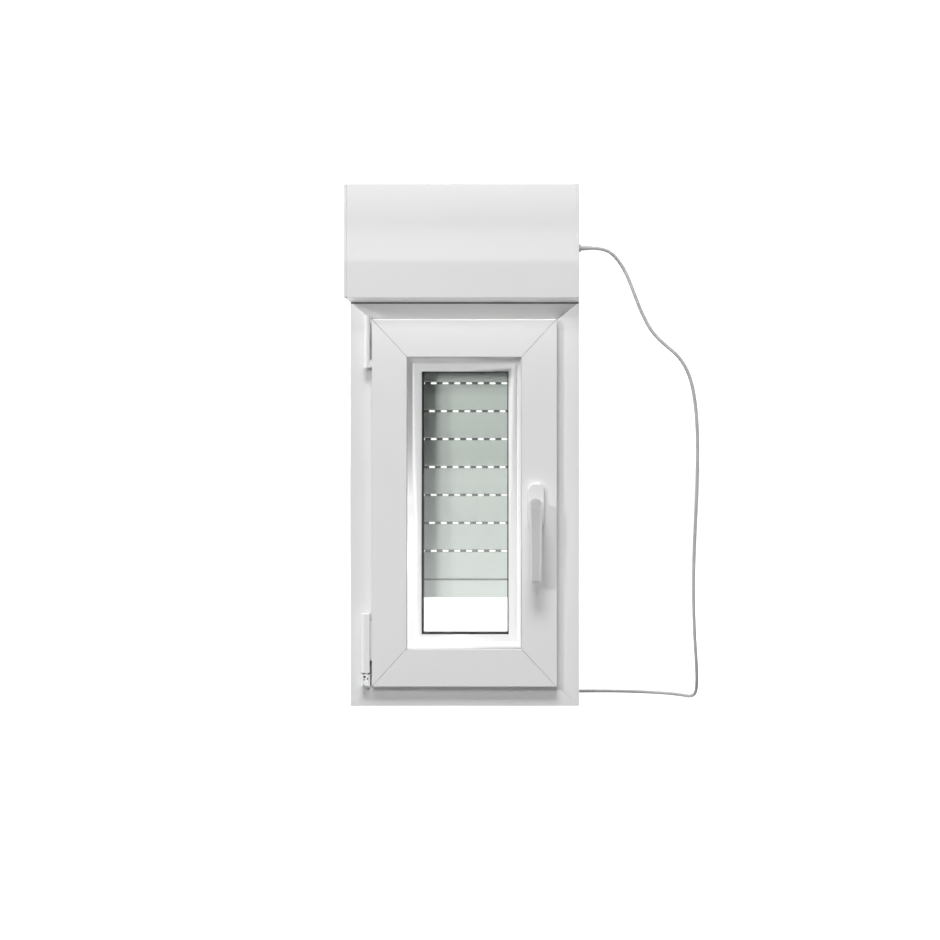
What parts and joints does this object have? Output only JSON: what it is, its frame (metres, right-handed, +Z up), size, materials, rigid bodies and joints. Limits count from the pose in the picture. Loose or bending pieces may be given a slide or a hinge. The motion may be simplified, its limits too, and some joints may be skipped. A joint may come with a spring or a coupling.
{
  "type": "window with motorised roller shutter",
  "caption": "Inward-opening tilt-and-turn window, white plastic, with a motorised roller shutter box on top, its curtain half lowered.",
  "frame": {"origin": "middle of the base of the whole window, at floor height when it stands upright", "axes": "+X to the right seen from the room, +Y outdoors, +Z up"},
  "size_m": [0.6127, 0.3238, 0.9],
  "materials": {
    "pvc_white": "satin white window profile, fine gloss, welded corner seams",
    "cap_white": "satin white moulded plastic",
    "galvanised_steel": "zinc-coated sheet steel",
    "gasket_grey": "matt dark grey sealing rubber",
    "handle_white": "white powder coat on cast metal",
    "zinc_steel": "bright zinc-plated steel",
    "hinge_bearing_silver": "silver coated die-cast metal",
    "hinge_cover_white": "pale moulded cover",
    "clear_glass": "clear float glass",
    "spacer_aluminium": "mill-finish spacer",
    "foam_grey": "grey bead foam",
    "rail_aluminium": "white lacquered extruded rail",
    "brush_grey": "short pile brush strip",
    "motor_black": "black drawn tube with plastic head",
    "drive_plastic": "dark moulded plastic",
    "slat_lacquer": "pale grey lacquered roll-formed aluminium, satin",
    "cable_sheath": "light grey flexible sheath",
    "core_ferrule": "insulated cores with crimped ferrules"
  },
  "bodies": {
    "frame": {"frame_jamb_left": "pvc_white", "frame_jamb_right": "pvc_white", "frame_head": "pvc_white", "frame_bottom": "pvc_white", "frame_steel": "galvanised_steel", "rebate_gasket": "gasket_grey", "lock_keeps": "galvanised_steel", "hinge_top_bearing": "hinge_bearing_silver", "hinge_bottom_bracket": "hinge_bearing_silver", "box_front_panel": "pvc_white", "box_shell": "pvc_white", "box_bottom_panel": "pvc_white", "box_endcap_left": "cap_white", "box_endcap_right": "cap_white", "box_insulation": "foam_grey", "guide_rail_left": "rail_aluminium", "guide_rail_right": "rail_aluminium", "brush_seals": "brush_grey", "motor": "motor_black", "motor_bracket": "galvanised_steel", "idler_bracket": "galvanised_steel", "idler_bearing": "zinc_steel", "cable_gland": "cable_sheath", "cable": "cable_sheath", "cable_coil": "cable_sheath", "cable_cores": "core_ferrule"},
    "corner_pivot": {"hinge_bottom_pivot": "hinge_bearing_silver"},
    "sash": {"sash_stile_left": "pvc_white", "sash_stile_right": "pvc_white", "sash_rail_top": "pvc_white", "sash_rail_bottom": "pvc_white", "sash_steel": "galvanised_steel", "glazing_beads": "pvc_white", "pane_indoor": "clear_glass", "pane_outdoor": "clear_glass", "glass_spacer": "spacer_aluminium", "glazing_gaskets": "gasket_grey", "hinge_top_cover": "hinge_cover_white", "hinge_bottom_cover": "hinge_cover_white", "handle_rosette": "handle_white", "lock_gearbox": "galvanised_steel", "handle_screws": "zinc_steel"},
    "handle": {"handle_lever": "handle_white", "handle_spindle": "zinc_steel"},
    "drive_rod": {"drive_rod": "galvanised_steel"},
    "winding_tube": {"winding_tube": "galvanised_steel", "motor_crown": "drive_plastic", "drive_wheel": "drive_plastic", "idler_cap": "drive_plastic"},
    "curtain": {"slat_01": "slat_lacquer", "slat_02": "slat_lacquer", "slat_03": "slat_lacquer", "slat_04": "slat_lacquer", "slat_05": "slat_lacquer", "slat_06": "slat_lacquer", "slat_07": "slat_lacquer", "slat_08": "slat_lacquer", "slats_in_box": "slat_lacquer", "hangers": "galvanised_steel"},
    "end_slat": {"end_slat": "slat_lacquer"}
  },
  "joints": [
    {"name": "sash_tilt", "type": "hinge", "parent": "frame", "child": "corner_pivot", "pos_m": [-0.17, -0.012, 0.046], "axis": [1, 0, 0], "range_deg": [0, 8]},
    {"name": "sash_turn", "type": "hinge", "parent": "corner_pivot", "child": "sash", "pos_m": [-0.17, -0.012, 0.353], "axis": [0, 0, -1], "range_deg": [0, 90]},
    {"name": "handle_turn", "type": "hinge", "parent": "sash", "child": "handle", "pos_m": [0.125, -0.04, 0.352], "axis": [0, 1, 0], "range_deg": [0, 180]},
    {"name": "rod_slide", "type": "slide", "parent": "sash", "child": "drive_rod", "axis": [0, 0, 1], "range_m": [0, 0.036]},
    {"name": "curtain_lower", "type": "slide", "parent": "frame", "child": "curtain", "axis": [0, 0, 1], "range_m": [-0.175, 0]},
    {"name": "curtain_raise", "type": "slide", "parent": "curtain", "child": "end_slat", "axis": [0, 0, 1], "range_m": [0, 0.47], "deforming": ["slat_01", "slat_02", "slat_03", "slat_04", "slat_05", "slat_06", "slat_07", "slat_08", "slats_in_box", "hangers"]},
    {"name": "tube_turn", "type": "hinge", "parent": "frame", "child": "winding_tube", "pos_m": [0, 0, 0.8], "axis": [-1, 0, 0], "range_deg": [0, 720]}
  ],
  "couplings": [
    {"joint": "rod_slide", "follows": "handle_turn", "m_per_rad": 0.0114},
    {"joint": "tube_turn", "follows": "curtain_raise", "rad_per_m": 25}
  ]
}
